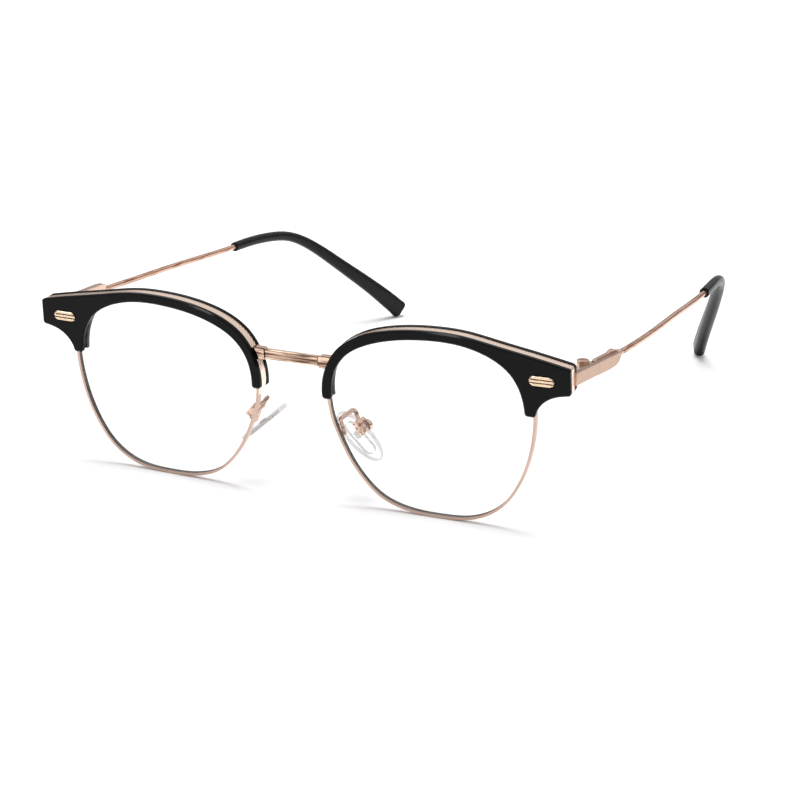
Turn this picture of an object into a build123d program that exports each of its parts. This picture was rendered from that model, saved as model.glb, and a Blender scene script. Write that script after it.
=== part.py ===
from build123d import *
import math
import os

os.makedirs("parts", exist_ok=True)

# Half rim (browline) eyeglasses. Millimetres and degrees.
# X runs across the face, with +X on the wearer's left. Y runs back towards the
# temple tips. Z is up, and the floor the glasses stand on is Z = 0.
# The drawing has Y = 0 at the front of the rims; the saved parts are moved so that
# Y = 0 is half way between the brow bar and the ends of the temples.
# Each front half is drawn flat, as (x, z) outlines measured from the middle of
# the nose and the middle height of the lenses, then turned and tilted as one.

MIDDLE_Y = 75.9        # half way from the front of the brow bar to the tip ends

# ---- front: layers from front to back ----
WRAP = 2.0             # each half turns back by this much from the nose outwards
WRAP_X = 30.0          # distance from the middle that the turn is made about
TILT = 4.7             # the whole front leans forward at the top
BROW_T = 1.1           # black brow bar in front of the rim
BAND_T = 2.2           # knurled gold band under the bar
BACK_T = 0.9           # thin black layer behind the band
BAND_INSET = 0.08      # band edge set in from the brow bar edge
BACK_PROUD = 0.08      # back layer edge stands out past the brow bar edge
BACK_TAIL_CUT = [      # outline of what the back layer lacks beside its temporal tail
    (58.9, 3.5), (59.2, 6.8), (60.3, 8.9), (61.9, 10.4), (63.6, 11.0), (66.5, 11.2), (66.5, 3.5),
]
BACK_SET = 0.8         # back layer opening is larger than the bar's by this much
BROW_BEVEL = 0.32      # bevel along the top of the brow bar

# ---- rim and lens ----
RIM_T = 0.66           # radial thickness of the rim
RIM_D = 1.3            # depth of the rim
GASKET_T = 0.2         # radial thickness of the dark lens gasket
GASKET_LIP = 0.15      # gold lip in front of and behind the gasket
LENS_T = 0.6           # lens thickness
LENS_R = 600.0         # radius of the lens curve
LENS_SEAT = 0.1        # depth the lens edge sits in the gasket
LENS_MID = (34.5, -0.8)
LENS_FRONT = -0.2      # lens front at its middle, behind the rim front plane

LENS_OUTLINE = [
    (59.1, 3.4), (58.3, -2.6), (57.0, -7.4), (54.8, -12.4), (51.6, -17.0),
    (47.2, -20.3), (42.0, -22.0), (36.5, -22.35), (31.0, -22.2), (26.0, -21.3),
    (21.6, -19.4), (17.8, -16.0), (14.8, -11.9), (12.1, -6.5), (10.3, -1.6),
    (9.6, 3.2), (9.9, 7.6), (11.1, 11.2), (14.2, 14.9), (19.3, 17.9),
    (25.9, 19.8), (33.0, 20.7), (40.1, 20.75), (46.5, 19.7), (51.6, 17.6),
    (55.5, 14.4), (57.9, 10.4), (58.9, 7.0),
]

# ---- brow bar outline, outer end towards the nose, then back underneath ----
BROW_TOP = [
    (68.2, 17.35), (59.0, 19.2), (50.0, 20.85), (42.5, 22.15), (36.0, 22.42),
    (29.0, 22.0), (22.5, 20.85), (16.5, 18.7), (12.0, 15.4), (9.4, 11.3),
    (8.15, 7.4), (7.95, 4.6), (8.05, 3.1),
]
BROW_INNER = [
    (57.4, 5.2), (57.1, 7.8), (56.1, 11.25), (54.0, 14.6), (50.8, 17.1),
    (46.2, 19.05), (40.0, 20.15), (33.0, 20.1), (26.0, 19.2), (19.5, 17.3),
    (14.5, 14.4), (11.6, 10.6), (10.55, 7.2), (10.4, 3.1),
]
BROW_LOWER = [
    (68.3, 11.2), (65.9, 10.8), (63.4, 9.9), (61.6, 8.55), (60.4, 6.9), (59.85, 5.1),
]

# ---- rivet on the brow bar ----
RIVET_AT = (61.6, 13.95)
RIVET_L = 5.9
RIVET_H = 2.35
RIVET_PROUD = 0.28
RIVET_RIDGES = 3
RIVET_SINK = 0.22      # width and depth of the sunk border around the rivet

# ---- bridge ----
BRIDGE_HALF = 6.75
BRIDGE_Z = 11.55       # height of its middle above the lens middle
BRIDGE_H = 2.35
BRIDGE_Y = -0.7        # front of the bar
BRIDGE_D = 1.9
BRIDGE_RIDGES = 3

# ---- end piece, hinge and temple front ----
FLARE = 3.43           # temples spread outwards by this much
DROP = 2.9             # and fall away by this much
PLATE_AT = (68.45, 2.0, 37.3)
PLATE_T = 1.2
PLATE_H = 2.9
LEAF_T = 1.1           # inner leaf behind the temple plate
BUMP = {"left": 2.15, "right": 1.8}     # top of the leaf's bump above the plate's middle
FOOT_T = 0.8           # foot of the end piece, behind the back layer
SEAM = 12.0            # closed joint between end piece and temple
SEAM_GAP = 0.06
TEMPLE_END = 24.2
HINGE_X = 66.05
HINGE_Y = 12.1
BARREL_R = 1.45
KNUCKLE_Z = [35.5, 36.4, 37.45, 38.35]
KNUCKLE_GAP = 0.05
PIN_R = 0.65
PIN_CLEAR = 0.04
HEAD_R = 1.35
HEAD_H = 0.6

# ---- temple wire and tip, as (x, y, z) along the middle ----
WIRE_D = 1.45
WIRE_PATH = [
    (68.8, 26.6, 36.5), (69.0, 48.0, 35.5), (68.4, 69.0, 34.8),
    (67.6, 91.5, 33.95), (66.5, 100.0, 33.8), (65.1, 108.0, 33.1),
]
TIP_PATH = [
    (67.6, 91.5, 33.9), (66.6, 100.0, 33.7), (65.3, 108.0, 33.0), (63.6, 116.0, 31.3),
    (60.8, 124.0, 27.0), (56.7, 133.0, 19.8), (52.2, 142.0, 12.1), (46.9, 152.5, 2.17),
]
TIP_SIZE = [
    (2.5, 2.5), (2.55, 2.55), (2.65, 2.6), (2.85, 2.7), (3.15, 3.0), (3.35, 3.5), (3.35, 4.15), (3.2, 5.2),
]
TIP_STEPS = 3           # sections per length of the tip's path
TIP_ROUND = 0.7         # rounding at the tip's end
BEND = {"left": (0.25, 1.3), "right": (-0.65, -1.35)}   # bend up or down at the leaf and at the ring

# ---- nose pads ----
PAD_AT = (12.75, 8.1, 14.6)
PAD_LONG = (-0.75, 0.06, 0.66)     # towards the upper end
PAD_ACROSS = (0.105, 0.994, 0.03)  # towards the back
PAD_L = 14.8
PAD_W = 8.4
PAD_T = 1.7
BOX_AT = (-1.1, 0.42, 3.3)         # screw position on the pad: across, along, off the pad
PAD_PIN_R = 0.5
ARM_D = 1.1
TAB_W = 0.8
TAB_GAP = 0.06


def flat(points, closed=False):
    """Spline through (x, z) points, drawn in the front plane."""
    return Spline(*[(p[0], p[1]) for p in points], periodic=closed)


def slab(sketch, y0, y1):
    """Stand a flat (x, z) region up and give it depth from y0 to y1."""
    upright = Plane.XZ * sketch
    return extrude(Pos(0, y0, 0) * upright, amount=y1 - y0, dir=(0, 1, 0))


def grown(sketch, amount):
    """The region made larger (or smaller) all round."""
    return offset(sketch, amount=amount, kind=Kind.ARC).to_splines(3, 1e-4)


def lens_region(extra=0.0):
    region = make_face(flat(LENS_OUTLINE, True))
    if extra:
        region = grown(region, extra)
    return region


def brow_region():
    top = flat(BROW_TOP)
    inner = flat(BROW_INNER)
    lower = flat(BROW_LOWER)
    end = Line(BROW_LOWER[0], BROW_TOP[0])
    nose_tail = Line(BROW_TOP[-1], BROW_INNER[-1])
    side_tail = Line(BROW_INNER[0], BROW_LOWER[-1])
    return make_face([top, nose_tail, inner, side_tail, lower, end])


def corner(sketch, x, z):
    """The vertex of a flat region nearest to (x, z)."""
    return min(sketch.vertices(), key=lambda v: math.hypot(v.X - x, v.Y - z))


def rounded_brow(end_r, tail_r):
    region = brow_region()
    for x, z, r in [
        (*BROW_TOP[0], end_r), (*BROW_LOWER[0], end_r),
        (*BROW_TOP[-1], tail_r), (*BROW_INNER[-1], tail_r),
        (*BROW_INNER[0], tail_r), (*BROW_LOWER[-1], tail_r),
    ]:
        region = fillet(corner(region, x, z), r)
    return region


def under_brow():
    """Everything inside the brow opening, down past the tails."""
    inner = flat(BROW_INNER)
    a = BROW_INNER[-1]
    b = BROW_INNER[0]
    walls = Polyline(a, (a[0], -6), (b[0], -6), b)
    return make_face([inner, walls])


def wrap(shape):
    return Pos(WRAP_X, 0, 0) * Rot(0, 0, WRAP) * Pos(-WRAP_X, 0, 0) * shape


def lens_shell(front, thick):
    mid_x, mid_z = LENS_MID
    centre = Pos(mid_x, front + LENS_R, mid_z)
    return centre * Sphere(LENS_R) - centre * Sphere(LENS_R - thick)


def lens_solid(extra, slack):
    prism = slab(lens_region(extra), -4, 6)
    return prism & lens_shell(LENS_FRONT - slack, LENS_T + 2 * slack)


def stadium(length, height, y0, y1, at):
    return slab(Pos(at[0], at[1]) * SlotOverall(length, height), y0, y1)


# ---------------------------------------------------------------- front half

def make_lens():
    return lens_solid(LENS_SEAT, 0.0)


def make_gasket():
    ring = lens_region(GASKET_T) - lens_region()
    body = slab(ring, GASKET_LIP, RIM_D - GASKET_LIP)
    return body - lens_solid(LENS_SEAT + 0.01, 0.01)


def make_rim():
    ring = lens_region(RIM_T) - lens_region(0.02)
    body = slab(ring, 0, RIM_D)
    channel = lens_region(GASKET_T + 0.005) - lens_region(-1.0)
    return body - slab(channel, GASKET_LIP - 0.005, RIM_D - GASKET_LIP + 0.005)


def make_brow_front():
    body = slab(rounded_brow(0.75, 0.75), -BROW_T, 0)
    edges = [
        e for e in body.edges()
        if abs(e.center().Y + BROW_T) < 1e-3 and e.length > 20 and e.center().Z > 12
    ]
    top = max(edges, key=lambda e: e.center().Z)
    body = chamfer(top, BROW_BEVEL)
    hole = stadium(RIVET_L + 0.08, RIVET_H + 0.08, -BROW_T - 1, 1, RIVET_AT)
    wide = 2 * RIVET_SINK
    border = stadium(RIVET_L + wide, RIVET_H + wide, -BROW_T - 1, -BROW_T + RIVET_SINK, RIVET_AT)
    return body - hole - border


def band_taper():
    """Nose end of the band, running down onto the rim."""
    return make_face(Polyline((7.95, 5.2), (8.05, 3.6), (8.55, 2.2), (9.6, 0.2), (10.4, 5.2), close=True))


def make_band():
    region = grown(rounded_brow(0.9, 0.5), -BAND_INSET)
    region = region + band_taper()
    region = region - lens_region(RIM_T + 0.01)
    body = slab(region, 0, BAND_T)
    sliver = Pos(60, 0, 4.2) * Box(8, 8, 5)
    wedge = extrude(
        Plane.YZ * make_face(Polyline((1.2, -0.5), (4, -0.5), (4, 6.2), (2.2, 6.2), close=True)),
        amount=20,
    )
    body = body - sliver - wedge
    return biggest(body)


def biggest(shape):
    return max(shape.solids(), key=lambda s: s.volume)


def make_back():
    region = grown(rounded_brow(1.1, 0.5), BACK_PROUD) - grown(under_brow(), BACK_SET)
    tail_side = make_face(Polyline(*BACK_TAIL_CUT, close=True))
    body = slab(region - tail_side, BAND_T, BAND_T + BACK_T)
    notch = Pos(68.2, BAND_T + 0.45, 14.15) * Box(2.6, 1.2, PLATE_H + 0.2)
    return biggest(body - notch)


def make_rivet():
    body = stadium(RIVET_L, RIVET_H, -BROW_T - RIVET_PROUD, 0, RIVET_AT)
    rim_edges = body.edges().filter_by(lambda e: abs(e.center().Y + BROW_T + RIVET_PROUD) < 1e-3)
    body = chamfer(rim_edges, 0.16)
    pitch = RIVET_H / RIVET_RIDGES
    for i in range(1, RIVET_RIDGES):
        z = RIVET_AT[1] - RIVET_H / 2 + i * pitch
        groove = Rot(45, 0, 0) * Box(RIVET_L + 2, 0.3, 0.3)
        body = body - Pos(RIVET_AT[0], -BROW_T - RIVET_PROUD, z) * groove
    return body


def make_bridge_end():
    """Block that carries the bridge onto the band, with its raised collar."""
    block = Pos(8.7, 0.75, BRIDGE_Z - 0.05) * Box(3.4, 1.5, 2.7)
    block = fillet(block.edges().filter_by(Axis.Y), 0.35)
    cap = Pos(8.7, 1.25, BRIDGE_Z + 0.15) * Box(3.4, 1.3, 2.5)
    cap = fillet(cap.edges().filter_by(Axis.Y), 0.5)
    keep_off = slab(grown(rounded_brow(0.9, 0.5), -BAND_INSET + 0.01) + lens_region(RIM_T + 0.02), -1, 6)
    body = (block + cap) - keep_off
    return biggest(body)


def make_rim_lock():
    """Closing block of the rim, behind the temporal end of the brow."""
    y0 = BAND_T + BACK_T
    block = Pos(61.2, y0 + 1.0, 12.6) * Box(2.3, 2.0, 3.4)
    block = fillet(block.edges().filter_by(Axis.Z), 0.6)
    slot = Pos(61.2, y0 + 1.2, 12.6) * Box(3, 2.4, 0.12)
    bore = Pos(61.2, y0 + 1.1, 12.6) * Cylinder(0.5, 6)
    return block - slot - bore + Pos(60.3, y0 + 0.3, 12.6) * Box(0.3, 0.6, 0.4)


def make_rim_screw():
    y0 = BAND_T + BACK_T
    shaft = Pos(61.2, y0 + 1.1, 12.6) * Cylinder(0.47, 3.4)
    head = Pos(61.2, y0 + 1.1, 14.5) * Cylinder(0.8, 0.4)
    slot = Pos(61.2, y0 + 1.1, 14.65) * Box(2, 0.22, 0.2)
    return shaft + head - slot


def make_brow_screws():
    """Small screws that clamp the layers together from behind."""
    y0 = BAND_T + BACK_T
    places = [(64.3, y0 + FOOT_T), (66.1, y0 + FOOT_T), (9.05, y0)]
    heads = []
    for x, y in places:
        z = 14.3 if x > 20 else 8.0
        head = Pos(x, y + 0.2, z) * Rot(90, 0, 0) * Cylinder(0.6, 0.4)
        slot = Pos(x, y + 0.35, z) * Rot(0, 30, 0) * Box(1.4, 0.2, 0.2)
        heads.append(head - slot)
    return heads


# ---------------------------------------------------------------- temple side

def side_frame():
    return Pos(*PLATE_AT) * Rot(0, 0, -FLARE) * Rot(-DROP, 0, 0)


def yz_prism(points, x0, x1):
    face = make_face(Polyline(*points, close=True))
    return extrude(Pos(x0, 0, 0) * (Plane.YZ * face), amount=x1 - x0)


def barrel(z0, z1, radius):
    return Pos(HINGE_X, HINGE_Y, (z0 + z1) / 2) * Cylinder(radius, z1 - z0)


def make_end_piece():
    half = PLATE_H / 2
    plate = yz_prism([(0.25, -half), (SEAM, -half), (SEAM, half), (0.25, half)], -PLATE_T, 0)
    plate = chamfer(plate.edges().filter_by(Axis.Y).group_by(Axis.X)[-1], 0.1)
    return side_frame() * plate


def make_foot():
    """Foot of the end piece, flat on the rear face of the back layer."""
    y0 = BAND_T + BACK_T
    foot = Pos(65.45, y0 + FOOT_T / 2, 14.1) * Box(4.9, FOOT_T, 2.6)
    return fillet(foot.edges().filter_by(Axis.Y).group_by(Axis.X)[0], 0.7)


def make_hinge_front():
    base = yz_prism([(2.2, -1.2), (SEAM - 0.3, -1.2), (SEAM - 0.3, 1.2), (2.2, 1.2)],
                    -PLATE_T - 0.55, -PLATE_T)
    body = side_frame() * base
    reach = Pos(HINGE_X + 0.6, HINGE_Y - 0.2, (KNUCKLE_Z[0] + KNUCKLE_Z[3]) / 2)
    body = body & (reach * Box(60, 60, KNUCKLE_Z[3] - KNUCKLE_Z[0] + 0.6))
    for z0, z1 in [(KNUCKLE_Z[0], KNUCKLE_Z[1]), (KNUCKLE_Z[2], KNUCKLE_Z[3])]:
        web = Pos(HINGE_X + 0.7, HINGE_Y - 0.8, (z0 + z1) / 2) * Box(1.4, 1.3, z1 - z0)
        body = body + barrel(z0, z1, BARREL_R) + web
    gap = barrel(KNUCKLE_Z[1], KNUCKLE_Z[2], BARREL_R + 0.12)
    over = barrel(KNUCKLE_Z[3], KNUCKLE_Z[3] + 2, HEAD_R + 0.12)
    body = body - gap - over - barrel(30, 45, PIN_R + 0.02)
    return body - side_frame() * (Pos(2.5 - PLATE_T, 6, 0) * Box(5, 40, 8))


def make_hinge_screw():
    top = KNUCKLE_Z[3]
    shaft = barrel(KNUCKLE_Z[0] + 0.05, top, PIN_R)
    head = barrel(top, top + HEAD_H, HEAD_R)
    head = fillet(head.edges().group_by(Axis.Z)[-1], 0.15)
    slot = Pos(HINGE_X, HINGE_Y, top + HEAD_H - 0.1) * Rot(0, 0, 35) * Box(4, 0.35, 0.3)
    return shaft + head - slot


def make_temple_plate():
    y0 = SEAM + SEAM_GAP
    end = TEMPLE_END
    half = PLATE_H / 2
    points = [
        (y0, -half), (end - 5.5, -half), (end - 2.8, -half + 0.2), (end - 1.1, -0.75), (end - 0.2, 0.1),
        (end, 0.9), (end - 0.25, half - 0.1), (end - 0.8, half), (y0, half),
    ]
    plate = yz_prism(points, -PLATE_T, 0)
    top = plate.edges().filter_by(Axis.Y).group_by(Axis.Z)[-1].group_by(Axis.X)[-1]
    return side_frame() * chamfer(top, 0.1)


def make_hinge_temple(rise):
    """Leaf behind the temple plate and its knuckle. rise is the height of the leaf's bump."""
    y0 = SEAM + 0.75
    end = TEMPLE_END
    points = [
        (y0, -1.3), (end - 3.5, -1.3), (end - 0.9, -0.9), (end + 0.2, -0.3), (end + 0.2, 1.3),
        (end - 0.3, rise - 0.3), (end - 1.2, rise), (end - 2.6, rise), (end - 4.2, 1.75),
        (y0 + 0.6, 1.7), (y0, 1.4),
    ]
    inner = -PLATE_T - LEAF_T
    leaf = yz_prism(points, inner, -PLATE_T)
    leaf = fillet(leaf.edges().filter_by(lambda e: abs(e.center().X - inner) < 1e-3), 0.2)
    body = side_frame() * leaf
    z0 = KNUCKLE_Z[1] + KNUCKLE_GAP
    z1 = KNUCKLE_Z[2] - KNUCKLE_GAP
    arm = Pos(HINGE_X + 0.05, HINGE_Y + 2.3, (z0 + z1) / 2) * Box(1.6, 4.6, z1 - z0)
    root = Pos(HINGE_X + 0.7, HINGE_Y + 3.7, (z0 + z1) / 2) * Box(1.9, 1.8, z1 - z0)
    root = root - side_frame() * (Pos(5 - PLATE_T, 15, 0) * Box(10, 40, 20))
    body = body + arm + root + barrel(z0, z1, BARREL_R)
    return body - barrel(30, 45, PIN_R + PIN_CLEAR)


def make_collar(line):
    """Short sleeve on the wire where it leaves the leaf."""
    y = WIRE_PATH[0][1]
    places = [(y - 0.9, 1.95), (y + 0.9, 1.95), (y + 1.7, 1.6)]
    sections = []
    for at, size in places:
        mid = line @ max(0.0, (at - y) / 100)
        sections.append(Plane(origin=(mid.X, at, mid.Z), z_dir=(0, 1, 0)) * Circle(size / 2))
    return loft(sections, ruled=True)


def bent(side, path):
    """The path with this side's small bend, which fades out from the sleeve to the tip's end."""
    start_y = WIRE_PATH[0][1]
    ring_y = TIP_PATH[0][1]
    end_y = TIP_PATH[-1][1]
    at_start, at_ring = BEND[side]
    points = []
    for x, y, z in path:
        if y < ring_y:
            rise = at_start + (at_ring - at_start) * (y - start_y) / (ring_y - start_y)
        else:
            rise = at_ring * (end_y - y) / (end_y - ring_y)
        points.append((x, y, z + rise))
    return points


def make_wire(side):
    line = Spline(*bent(side, WIRE_PATH))
    start = line @ 0
    section = Plane(origin=start, z_dir=line % 0) * Circle(WIRE_D / 2)
    return sweep(section, path=line)


def tip_section(line, u, thick, tall, inset=0.0, out=0.0):
    tangent = (line % u).normalized()
    across = Vector(tangent.Y, -tangent.X, 0).normalized()
    place = Plane(origin=line @ u, x_dir=across, z_dir=tangent).offset(out)
    corner_r = (min(thick, tall) / 2 - inset) * 0.92
    return place * RectangleRounded(thick - 2 * inset, tall - 2 * inset, corner_r)


def make_tip(side, wire):
    pts = bent(side, TIP_PATH)
    line = Spline(*pts)
    marks = [line.param_at_point(p) for p in pts]
    sections = []
    for i in range(len(pts) - 1):
        for k in range(TIP_STEPS):
            t = k / TIP_STEPS
            u = marks[i] * (1 - t) + marks[i + 1] * t
            thick, tall = [a * (1 - t) + b * t for a, b in zip(TIP_SIZE[i], TIP_SIZE[i + 1])]
            sections.append(tip_section(line, u, thick, tall))
    last = TIP_SIZE[-1]
    sections.append(tip_section(line, 1, *last))
    cap = []
    for angle in (0, 22, 45, 68, 90):
        a = math.radians(angle)
        inset = TIP_ROUND * (1 - math.cos(a))
        cap.append(tip_section(line, 1, *last, inset, TIP_ROUND * math.sin(a)))
    body = loft(sections) + loft(cap, ruled=True)
    return biggest(body) - wire


# ---------------------------------------------------------------- nose pads

def pad_plane():
    across = Vector(*PAD_ACROSS).normalized()
    along = Vector(*PAD_LONG)
    off = across.cross(along).normalized()
    return Plane(origin=PAD_AT, x_dir=across, z_dir=off)


def make_pad():
    body = extrude(Ellipse(PAD_W / 2, PAD_L / 2), amount=PAD_T)
    body = Pos(0, 0, -PAD_T * 0.68) * body
    low = body.edges().group_by(Axis.Z)[0]
    high = body.edges().group_by(Axis.Z)[-1]
    body = fillet(low, 0.9)
    body = fillet(body.edges().group_by(Axis.Z)[-1], 0.4)
    return body


def make_core():
    plate = extrude(RectangleRounded(4.0, 9.6, 1.9), amount=0.8)
    plate = Pos(0, -0.3, -0.75) * plate
    x, y, z = BOX_AT
    tab = Pos(x, y, z / 2) * Box(TAB_W, 1.8, z)
    tip = Pos(x, y, z) * Rot(0, 90, 0) * Cylinder(0.9, TAB_W)
    bore = Pos(x, y, z) * Rot(0, 90, 0) * Cylinder(PAD_PIN_R + PIN_CLEAR, 8)
    return plate + tab + tip - bore


def make_pad_box():
    x, y, z = BOX_AT
    gap = TAB_W / 2 + TAB_GAP
    cheek = Pos(x - gap - 0.6, y, z) * Box(1.2, 2.65, 2.2)
    cheek = fillet(cheek.edges().filter_by(Axis.X), 0.35)
    boss = Pos(x + gap + 0.6, y + 0.1, z + 0.15) * Rot(0, 90, 0) * Cylinder(1.35, 1.2)
    yoke = Pos(x, y + 1.75, z) * Box(2 * gap + 2.4, 0.9, 1.6)
    joint = Pos(x - gap - 0.6, y + 1.2, z) * Box(1.2, 1.0, 1.6)
    joint2 = Pos(x + gap + 0.6, y + 1.2, z) * Box(1.2, 1.0, 1.6)
    bore = Pos(x, y, z) * Rot(0, 90, 0) * Cylinder(PAD_PIN_R + 0.02, 12)
    sink = Pos(x - gap - 1.2, y, z) * Rot(0, 90, 0) * Cylinder(0.8, 0.8)
    return cheek + boss + yoke + joint + joint2 - bore - sink


def make_pad_screw():
    x, y, z = BOX_AT
    gap = TAB_W / 2 + TAB_GAP
    shaft = Pos(x + 0.15, y, z) * Rot(0, 90, 0) * Cylinder(PAD_PIN_R, 2 * gap + 2.1)
    head = Pos(x - gap - 0.98, y, z) * Rot(0, 90, 0) * Cylinder(0.76, 0.34)
    slot = Pos(x - gap - 1.15, y, z) * Rot(30, 0, 0) * Box(0.3, 2, 0.24)
    return shaft + head - slot


def make_pad_arm():
    """Wire from the back of the rim, up and over to the pad box."""
    plane = pad_plane()
    x, y, z = BOX_AT
    end = plane.from_local_coords((x + 0.1, y + 2.1, z))
    line = FilletPolyline((11.7, 2.0, 16.8), (10.4, 2.5, 20.0), (11.35, 8.1, 21.1), end, radius=0.75)
    section = Plane(origin=line @ 0, z_dir=line % 0) * Circle(ARM_D / 2)
    arm = sweep(section, path=line)
    return arm + Pos(11.7, 2.0, 16.8) * Sphere(ARM_D / 2)


# ---------------------------------------------------------------- assembly

RISE = -(Rot(TILT, 0, 0) * wrap(slab(lens_region(RIM_T), 0, RIM_D))).bounding_box().min.Z


def stand(shape):
    return Pos(0, 0, RISE) * Rot(TILT, 0, 0) * shape


def flip(shape):
    return mirror(shape, about=Plane.YZ)


def save(name, shape):
    if isinstance(shape, (list, tuple)):
        shape = Compound(children=[s for item in shape for s in item.solids()])
    shape = Pos(0, -MIDDLE_Y, 0) * shape
    export_step(shape, "parts/" + name + ".step")
    print(name, len(shape.solids()), round(shape.volume, 2))


def save_front(name, half):
    """A part of the front half, on both sides."""
    left = wrap(half)
    save(name + "_left", stand(left))
    save(name + "_right", stand(flip(left)))


def save_pair(name, shape):
    save(name + "_left", shape)
    save(name + "_right", flip(shape))


def make_bridge():
    pitch = BRIDGE_H / BRIDGE_RIDGES
    z0 = BRIDGE_Z - BRIDGE_H / 2
    ridge_d = 0.22
    middle_y = BRIDGE_Y + (BRIDGE_D + ridge_d) / 2
    body = Pos(0, middle_y, BRIDGE_Z) * Box(2 * BRIDGE_HALF, BRIDGE_D - ridge_d, BRIDGE_H)
    long_edges = body.edges().filter_by(Axis.X)
    body = fillet(long_edges.group_by(Axis.Y)[-1], 0.7)
    body = fillet(body.edges().filter_by(Axis.X).group_by(Axis.Y)[0], 0.25)
    for i in range(BRIDGE_RIDGES):
        z = z0 + (i + 0.5) * pitch
        ridge = Pos(0, BRIDGE_Y + ridge_d, z) * Box(2 * BRIDGE_HALF, 2 * ridge_d, pitch * 0.8)
        ridge = chamfer(ridge.edges().filter_by(Axis.X).group_by(Axis.Y)[0], 0.14)
        body = body + ridge
    return body


def main():
    save_front("lens", make_lens())
    save_front("lens_gasket", make_gasket())
    save_front("rim", make_rim())
    save_front("brow_front", make_brow_front())
    save_front("brow_band", make_band())
    save_front("brow_back", make_back())
    save_front("rivet", make_rivet())
    save_front("rim_lock", make_rim_lock())
    save_front("rim_screw", make_rim_screw())
    bridge = make_bridge()
    end_block = wrap(make_bridge_end()) - Pos(0, 0, BRIDGE_Z) * Box(2 * BRIDGE_HALF, 10, 10)
    save("bridge", stand(bridge))
    save("bridge_end_left", stand(end_block))
    save("bridge_end_right", stand(flip(end_block)))
    screws = []
    for s in make_brow_screws():
        w = wrap(s)
        screws.append(stand(w))
        screws.append(stand(flip(w)))
    save("brow_screws", screws)

    back_left = stand(wrap(make_back()))
    band_left = stand(wrap(make_band()))
    foot = stand(wrap(make_foot()))
    end_piece = make_end_piece() - back_left - band_left
    end_piece = biggest(end_piece + (foot - back_left))
    hinge_front = biggest(make_hinge_front() - end_piece - back_left)
    save_pair("end_piece", end_piece)
    save_pair("hinge_front", hinge_front)
    save_pair("hinge_screw", make_hinge_screw())

    plate = make_temple_plate()
    save_pair("temple_plate", plate)
    for side in ["left", "right"]:
        wire = make_wire(side)
        tip = make_tip(side, wire)
        leaf = make_hinge_temple(BUMP[side]) + (make_collar(Spline(*bent(side, WIRE_PATH))) - plate) - wire
        if side == "right":
            wire, tip, leaf = flip(wire), flip(tip), flip(leaf)
        save("hinge_temple_" + side, leaf)
        save("temple_wire_" + side, wire)
        save("temple_tip_" + side, tip)

    place = pad_plane()
    core = make_core()
    pad = make_pad() - core
    box = place * make_pad_box()
    arm = make_pad_arm() - box - stand(wrap(make_rim()))
    save_pair("nose_pad", place * pad)
    save_pair("pad_core", place * core)
    save_pair("pad_box", box)
    save_pair("pad_screw", place * make_pad_screw())
    save_pair("pad_arm", biggest(arm))


main()
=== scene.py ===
import bpy
import math
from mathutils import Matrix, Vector


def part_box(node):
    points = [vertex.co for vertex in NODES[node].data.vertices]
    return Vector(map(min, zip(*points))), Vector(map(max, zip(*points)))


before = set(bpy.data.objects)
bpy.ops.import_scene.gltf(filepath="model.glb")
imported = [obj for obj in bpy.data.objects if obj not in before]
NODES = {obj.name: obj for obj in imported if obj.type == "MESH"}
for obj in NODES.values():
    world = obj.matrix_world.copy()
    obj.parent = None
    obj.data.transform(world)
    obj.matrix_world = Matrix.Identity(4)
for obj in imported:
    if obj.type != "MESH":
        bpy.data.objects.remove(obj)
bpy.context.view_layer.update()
SIDES = ("left", "right")

MM = 1000.0             # texture units in a metre, so that textures are laid out in millimetres
WAVE_PER_MM = 0.314     # scale of a wave texture that has one band in a millimetre
KNURL_TURN = math.radians(-38)
# Painted reflection: dark streaks along the brush axis, painted into the metal's colour
PAINTED_REFLECTION_SPAN = 0.16      # how much of the noise's range a streak takes to reach its full colour

# Rose gold plating, seen under white light. PALE is the band's and SATIN the brushed plates'.
GOLD_DEEP = (0.56, 0.34, 0.23)
PALE = (0.99, 0.79, 0.665)
PALE_DEEP = (0.86, 0.64, 0.50)
SATIN = (0.54, 0.375, 0.285)
SATIN_DEEP = (0.45, 0.30, 0.22)
SCREW = (0.80, 0.585, 0.46)
SCREW_DEEP = (0.62, 0.40, 0.30)

# Direction that each nose pad's faces look in, and the haze of its narrow sides. The haze is partly
# painted shade, and it differs between the two sides only because each pad was lit differently.
PAD_FACE = {"left": (0.654, -0.092, 0.751), "right": (-0.654, -0.092, 0.751)}
PAD_HAZE_AND_SHADE = {"left": 0.64, "right": 0.40}
CORE_HAZE_AND_SHADE = 0.12

RIVET_RIDGES = 3

# Where the camera stands, in degrees about the vertical and up from the floor, and what it looks at
CAMERA_TURN = 25.68
CAMERA_RISE = 17.65
CAMERA_DISTANCE = 0.5265
CAMERA_TARGET = (0.0269, -0.0759, 0.0276)
CAMERA_LENS = 105.1
CAMERA_SENSOR = 36.0

FLOOR_HALF = 2.4        # half the floor's side
FLOOR_DROP = 0.0001     # how far the floor lies below the glasses
LIGHT_DISTANCE = 4.0
LIGHT_AIM = (0, -0.02, 0.03)

# The room's brightness by height above the horizon, which only reflections and the floor see
SKY = [(0.0, 0.10), (0.14, 0.12), (0.24, 0.58), (0.45, 0.90), (0.62, 0.75), (1.0, 0.70)]
SKY_BLUE = 1.005        # the sky's blue, beside its red and green


# ------------------------------------------------------------ node helpers

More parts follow.
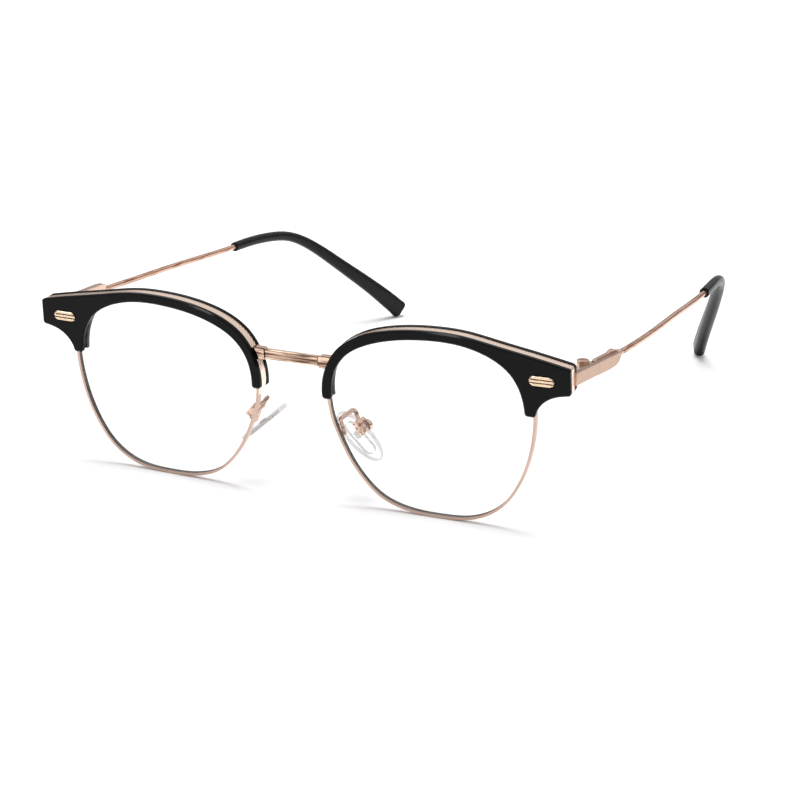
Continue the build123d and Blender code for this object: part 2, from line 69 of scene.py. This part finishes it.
class Tree:
    """A material's nodes, with short calls to make and join them."""

    def __init__(self, name):
        self.mat = bpy.data.materials.new(name)
        self.mat.use_nodes = True
        self.nodes = self.mat.node_tree.nodes
        self.links = self.mat.node_tree.links
        self.nodes.clear()
        self.out = self.nodes.new("ShaderNodeOutputMaterial")
        self.bsdf = self.nodes.new("ShaderNodeBsdfPrincipled")
        self.links.new(self.bsdf.outputs[0], self.out.inputs["Surface"])
        self.coord = self.nodes.new("ShaderNodeTexCoord")

    def set(self, **values):
        for key, value in values.items():
            self.bsdf.inputs[key.replace("_", " ")].default_value = value

    def add(self, kind, inputs=(), **props):
        node = self.nodes.new(kind)
        for key, value in props.items():
            setattr(node, key, value)
        for key, value in dict(inputs).items():
            if hasattr(value, "is_output"):
                self.links.new(value, node.inputs[key])
            else:
                node.inputs[key].default_value = value
        return node

    def link(self, out, socket):
        self.links.new(out, self.bsdf.inputs[socket])

    def place(self, scale=(1, 1, 1), turn=(0, 0, 0), move=(0, 0, 0)):
        """Object coordinates in millimetres, times the scale."""
        node = self.add("ShaderNodeMapping", {"Vector": self.coord.outputs["Object"]})
        node.inputs["Scale"].default_value = [s * MM for s in scale]
        node.inputs["Rotation"].default_value = turn
        node.inputs["Location"].default_value = [-MM * m * s for m, s in zip(move, scale)]
        return node.outputs[0]

    def noise(self, vector, scale=1.0, detail=3.0, rough=0.55):
        node = self.add("ShaderNodeTexNoise", {
            "Vector": vector, "Scale": scale, "Detail": detail, "Roughness": rough})
        return node.outputs["Fac"]

    def spread(self, value, low, high, lo_in=0.3, hi_in=0.7):
        node = self.add("ShaderNodeMapRange", {
            "Value": value, "From Min": lo_in, "From Max": hi_in, "To Min": low, "To Max": high})
        return node.outputs[0]

    def mix(self, value, a, b):
        """Colour a where value is 0, b where it is 1. Each is a colour or a node's output."""
        node = self.add("ShaderNodeMix", data_type="RGBA")
        factor, first, second = [node.inputs[i] for i in (0, 6, 7)]
        self.links.new(value, factor)
        for socket, colour in ((first, a), (second, b)):
            if hasattr(colour, "is_output"):
                self.links.new(colour, socket)
            else:
                socket.default_value = (*colour, 1)
        return node.outputs[2]

    def bump(self, height, strength, distance, under=None):
        inputs = {"Height": height, "Strength": strength, "Distance": distance}
        if under is not None:
            inputs["Normal"] = under
        return self.add("ShaderNodeBump", inputs).outputs[0]


def metal(name, light, deep, rough, brush=None, knurl=None, brush_strength=0.25, painted_reflection=None,
          painted_reflection_from=0.50):
    """Plated metal. brush stretches fine lines along that axis; knurl is a rib spacing in mm.

    A streak colour, if given, paints long dark streaks along the brush axis as painted
    reflections of dark surroundings, and a lower streak start makes more of them.
    """
    t = Tree(name)
    t.set(Metallic=1.0)
    broad = t.noise(t.place(), 0.16, 4.0)
    halfway = tuple(0.5 * (a + b) for a, b in zip(light, deep))
    colour = t.mix(t.spread(broad, 0.0, 1.0), light, halfway)
    # Painted reflection: stretched noise lays dark streaks into the colour where the room reflects
    # nothing dark
    if painted_reflection is not None:
        long_way = [1.5, 1.5, 1.5]
        long_way[brush] = 0.12
        dark = t.noise(t.place(long_way), 1.0, 2.0, 0.5)
        painted_reflection_mask = t.spread(dark, 0.0, 1.0, painted_reflection_from, painted_reflection_from + PAINTED_REFLECTION_SPAN)
        colour = t.mix(painted_reflection_mask, colour, painted_reflection)
    t.link(colour, "Base Color")
    fine = t.noise(t.place(), 2.6, 5.0, 0.65)
    t.link(t.spread(fine, rough * 0.8, rough * 1.25), "Roughness")
    normal = t.bump(fine, 0.12, 0.00004)
    if brush is not None:
        stretch = [9.0, 9.0, 9.0]
        stretch[brush] = 0.35
        lines = t.noise(t.place(stretch), 1.0, 3.0, 0.6)
        normal = t.bump(lines, brush_strength, 0.00005, normal)
    if knurl:
        across = t.place((1, 1, 1), (0, 0, KNURL_TURN))
        ribs = t.add("ShaderNodeTexWave", {"Vector": across, "Scale": WAVE_PER_MM / knurl},
                     bands_direction="X", wave_profile="TRI")
        normal = t.bump(ribs.outputs["Fac"], 0.35, 0.0001, normal)
    t.link(normal, "Normal")
    return t.mat


def acetate(name, dark, light, rough, gloss, grain=0.9):
    """Dense black plastic with a faint cloudy depth and hand-polished surface."""
    t = Tree(name)
    cloud = t.noise(t.place(), 0.22, 5.0)
    t.link(t.mix(t.spread(cloud, 0.0, 1.0), dark, light), "Base Color")
    wipe = t.noise(t.place((0.5, 2.2, 2.2)), grain, 4.0, 0.6)
    t.link(t.spread(wipe, rough * 0.82, rough * 1.2), "Roughness")
    t.set(Specular_IOR_Level=gloss)
    peel = t.noise(t.place(), 1.4, 2.0)
    dust = t.noise(t.place(), 9.0, 2.0)
    t.link(t.bump(dust, 0.05, 0.00002, t.bump(peel, 0.10, 0.00006)), "Normal")
    return t.mat


def lens_glass():
    """Clear coated lens: nearly invisible face on, brighter towards its edges."""
    t = Tree("lens_clear")
    t.set(Specular_IOR_Level=0.9, IOR=1.5)
    smear = t.noise(t.place(), 0.12, 5.0, 0.6)
    t.link(t.spread(smear, 0.02, 0.055), "Roughness")
    tint = t.noise(t.place(), 0.03, 2.0)
    green, clear = (0.86, 0.95, 0.90), (0.92, 0.95, 0.93)
    t.link(t.mix(t.spread(tint, 0.0, 1.0), green, clear), "Base Color")
    rim = t.add("ShaderNodeLayerWeight", {"Blend": 0.35}).outputs["Facing"]
    t.link(t.spread(rim, 0.045, 0.55, 0.25, 1.0), "Alpha")
    return t.mat


def silicone(name, face, pale, side, clear, cloudy):
    """Clear soft pad or its clear core.

    face is the direction that its flat faces look in, which are pale and as opaque as clear
    says. Its narrow sides are milky and mauve, with side's colour and as opaque as cloudy says;
    the darker mauve is partly painted shade, laid on by how far a face turns from face.
    """
    t = Tree(name)
    tilt = t.add("ShaderNodeVectorMath", {0: t.coord.outputs["Normal"], 1: face},
                 operation="DOT_PRODUCT").outputs["Value"]
    flatness = t.add("ShaderNodeMath", {0: tilt}, operation="ABSOLUTE").outputs[0]
    haze = t.noise(t.place(), 0.9, 4.0)
    # Painted shade: faces turned away from the pad's face get the darker side colour and more
    # opacity
    painted_shade_edge = t.spread(flatness, 1.0, 0.0, 0.45, 0.985)
    t.link(t.mix(painted_shade_edge, pale, side), "Base Color")
    cover = t.spread(painted_shade_edge, clear, cloudy, 0.0, 1.0)
    uneven = t.spread(haze, -0.02, 0.05)
    veil = t.add("ShaderNodeMath", {0: cover, 1: uneven}, operation="ADD")
    t.link(veil.outputs[0], "Alpha")
    t.link(t.spread(haze, 0.10, 0.22), "Roughness")
    t.set(Specular_IOR_Level=0.3)
    t.link(t.bump(haze, 0.1, 0.00008), "Normal")
    return t.mat


def turned(name, centre, axis, light, deep):
    """Screw head with faint turned rings about its own axis."""
    t = Tree(name)
    t.set(Metallic=1.0)
    grime = t.noise(t.place(), 1.8, 4.0)
    t.link(t.mix(t.spread(grime, 0.0, 1.0), light, deep), "Base Color")
    t.link(t.spread(grime, 0.2, 0.34), "Roughness")
    rings = t.add("ShaderNodeTexWave", {"Vector": t.place(move=centre), "Scale": 1.6},
                  wave_type="RINGS", rings_direction=axis)
    t.link(t.bump(rings.outputs["Fac"], 0.15, 0.00004), "Normal")
    return t.mat


def ridged(name, low, high, count, light, groove_shade):
    """Satin metal with lengthwise bumped ridges, and painted shade darkening the grooves between
    them.
    """
    t = Tree(name)
    t.set(Metallic=1.0)
    height = t.add("ShaderNodeSeparateXYZ", {0: t.coord.outputs["Object"]}).outputs["Z"]
    turns = t.add("ShaderNodeMapRange", {
        "Value": height, "From Min": low, "From Max": high, "To Min": 0.0,
        "To Max": float(count)}, clamp=False).outputs[0]
    crest = t.add("ShaderNodeMath", {0: turns, 1: 0.5}, operation="PINGPONG").outputs[0]
    fine = t.noise(t.place((0.6, 6.0, 6.0)), 1.0, 4.0)
    # Painted shade: noise jitters where the dark groove colour meets the ridge crests
    shade_jitter = t.spread(fine, -0.05, 0.05)
    painted_groove_shade = t.add("ShaderNodeMath", {0: crest, 1: shade_jitter}, operation="ADD").outputs[0]
    t.link(t.mix(t.spread(painted_groove_shade, 0.0, 1.0, 0.04, 0.2), groove_shade, light), "Base Color")
    t.link(t.spread(fine, 0.2, 0.34), "Roughness")
    t.link(t.bump(fine, 0.2, 0.00004, t.bump(crest, 0.5, 0.0003)), "Normal")
    return t.mat


# ------------------------------------------------------------ finishes

FINISH = {
    "brow_front": acetate("brow_black", (0.0012, 0.0012, 0.0017), (0.0026, 0.0026, 0.0033),
                          0.11, 0.11),
    "temple_tip": acetate("tip_black", (0.003, 0.003, 0.0036), (0.006, 0.006, 0.0068),
                          0.30, 0.18, 0.5),
    # The lens gasket's dark colour is partly painted shade: it darkens the rim's inner channel as
    # the lens edge's shade and dark reflections do
    "lens_gasket": acetate("gasket_dark", (0.035, 0.03, 0.03), (0.07, 0.06, 0.06),
                           0.5, 0.4, 2.0),
    "brow_band": metal("band_gold", PALE, PALE_DEEP, 0.27, knurl=0.55),
    "rim": metal("rim_gold", (0.55, 0.395, 0.325), (0.39, 0.25, 0.19), 0.2),
    # The dark streak colours of the bridge, wire and pad arm below are painted reflections
    "bridge": metal("bridge_gold", (0.84, 0.63, 0.48), GOLD_DEEP, 0.06, brush=0,
                    brush_strength=0.05, painted_reflection=(0.13, 0.07, 0.045), painted_reflection_from=0.45),
    "end_piece": metal("satin_gold", SATIN, SATIN_DEEP, 0.36, brush=1, brush_strength=0.4),
    "hinge_front": metal("hinge_gold", (0.80, 0.60, 0.49), GOLD_DEEP, 0.28, brush=1),
    "temple_wire": metal("wire_gold", (0.73, 0.475, 0.36), (0.52, 0.28, 0.18), 0.24, brush=1,
                         brush_strength=0.15, painted_reflection=(0.38, 0.15, 0.08)),
    "pad_arm": metal("arm_gold", (0.80, 0.57, 0.45), GOLD_DEEP, 0.10, brush=1,
                     brush_strength=0.05, painted_reflection=(0.22, 0.11, 0.075)),
    "lens": lens_glass(),
}
SAME_AS = {
    "brow_back": "brow_front", "rim_lock": "rim", "bridge_end": "bridge",
    "temple_plate": "end_piece", "hinge_temple": "hinge_front", "pad_box": "pad_arm",
}


# Screws turn about this axis, or else about Y
SCREW_AXIS = {"hinge_screw": "Z", "rim_screw": "Z"}

# Finishes that lie differently on each side. Each pad's and core's second colour is the painted
# shade of its narrow sides, and the pads' haze differs by side as painted shade.
for side in SIDES:
    FINISH["nose_pad_" + side] = silicone("pad_clear_" + side, PAD_FACE[side], (0.90, 0.90, 0.89),
                                          (0.47, 0.43, 0.435), 0.05, PAD_HAZE_AND_SHADE[side])
    FINISH["pad_core_" + side] = silicone("core_clear_" + side, PAD_FACE[side], (0.86, 0.86, 0.86),
                                          (0.58, 0.55, 0.555), 0.02, CORE_HAZE_AND_SHADE)
for side in SIDES:
    low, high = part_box("rivet_" + side)
    # The near-black second colour is painted shade in the rivet's grooves
    FINISH["rivet_" + side] = ridged("rivet_gold_" + side, low.z, high.z, RIVET_RIDGES,
                                     (0.73, 0.56, 0.40), (0.08, 0.05, 0.03))


def finish_for(name):
    """The node's own finish, or the one that both sides share."""
    part = name.rsplit("_", 1)[0] if name.endswith(SIDES) else name
    if name in FINISH:
        return FINISH[name]
    if "screw" in part:
        low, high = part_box(name)
        axis = SCREW_AXIS.get(part, "Y")
        return turned(name + "_finish", (low + high) / 2, axis, SCREW, SCREW_DEEP)
    return FINISH[SAME_AS.get(part, part)]


for name, obj in NODES.items():
    obj.data.materials.clear()
    obj.data.materials.append(finish_for(name))


# ------------------------------------------------------------ stage

def floor():
    """A large white table just below the glasses."""
    mesh = bpy.data.meshes.new("floor")
    half = FLOOR_HALF
    corners = [(-half, -half, 0), (half, -half, 0), (half, half, 0), (-half, half, 0)]
    mesh.from_pydata(corners, [], [(0, 1, 2, 3)])
    obj = bpy.data.objects.new("floor", mesh)
    bpy.context.scene.collection.objects.link(obj)
    obj.location.z = -FLOOR_DROP
    t = Tree("floor_white")
    patches = t.spread(t.noise(t.place((0.01, 0.01, 0.01)), 1.0), 0.0, 1.0)
    t.link(t.mix(patches, (0.90, 0.895, 0.90), (0.91, 0.905, 0.91)), "Base Color")
    t.set(Roughness=0.85, Specular_IOR_Level=0.0)
    mesh.materials.append(t.mat)


def softbox(name, direction, width, height, power):
    """A white area light that looks at the glasses from that direction."""
    light = bpy.data.lights.new(name, "AREA")
    light.shape = "RECTANGLE"
    light.size = width
    light.size_y = height
    light.energy = power
    obj = bpy.data.objects.new(name, light)
    bpy.context.scene.collection.objects.link(obj)
    way = Vector(direction).normalized()
    obj.location = Vector(LIGHT_AIM) + way * LIGHT_DISTANCE
    obj.rotation_mode = "QUATERNION"
    obj.rotation_quaternion = (-way).to_track_quat("-Z", "Y")
    return obj


def studio():
    """White room with a dim horizon, a soft overhead light and a long strip high in front.

    The camera sees the room as plain white. The overhead light doesn't show in reflections,
    and the strip gives highlights only.
    """
    world = bpy.data.worlds.new("studio")
    bpy.context.scene.world = world
    world.use_nodes = True
    nodes, links = world.node_tree.nodes, world.node_tree.links
    nodes.clear()
    out = nodes.new("ShaderNodeOutputWorld")
    back = nodes.new("ShaderNodeBackground")
    coord = nodes.new("ShaderNodeTexCoord")
    split = nodes.new("ShaderNodeSeparateXYZ")
    ramp = nodes.new("ShaderNodeValToRGB")
    links.new(coord.outputs["Generated"], split.inputs[0])
    links.new(split.outputs["Z"], ramp.inputs[0])
    ray = nodes.new("ShaderNodeLightPath")
    seen = nodes.new("ShaderNodeMix")
    seen.data_type = "RGBA"
    links.new(ray.outputs["Is Camera Ray"], seen.inputs[0])
    links.new(ramp.outputs[0], seen.inputs[6])
    seen.inputs[7].default_value = (1, 1, 1, 1)
    links.new(seen.outputs[2], back.inputs["Color"])
    links.new(back.outputs[0], out.inputs["Surface"])
    stops = ramp.color_ramp.elements
    stops.remove(stops[1])
    horizon, dim = SKY[0]
    stops[0].position = horizon
    stops[0].color = (dim, dim, dim, 1)
    for place, value in SKY[1:]:
        stops.new(place).color = (value, value, value * SKY_BLUE, 1)
    back.inputs["Strength"].default_value = 1.0
    softbox("overhead", (0.0, -0.02, 1.0), 2.6, 1.3, 138).visible_glossy = False
    softbox("strip", (-0.41, -0.30, 0.86), 3.4, 0.4, 42).visible_diffuse = False


def camera():
    """Looks at the glasses from in front, a little above, and from the wearer's left."""
    data = bpy.data.cameras.new("camera")
    obj = bpy.data.objects.new("camera", data)
    bpy.context.scene.collection.objects.link(obj)
    az, el = math.radians(CAMERA_TURN), math.radians(CAMERA_RISE)
    back = Vector((math.sin(az) * math.cos(el), -math.cos(az) * math.cos(el), math.sin(el)))
    obj.location = Vector(CAMERA_TARGET) + back * CAMERA_DISTANCE
    obj.rotation_mode = "QUATERNION"
    obj.rotation_quaternion = (-back).to_track_quat("-Z", "Y")
    data.lens = CAMERA_LENS
    data.sensor_width = CAMERA_SENSOR
    data.clip_start = 0.01
    data.clip_end = 30.0
    bpy.context.scene.camera = obj


floor()
studio()
camera()
bpy.context.scene.view_settings.view_transform = "Standard"
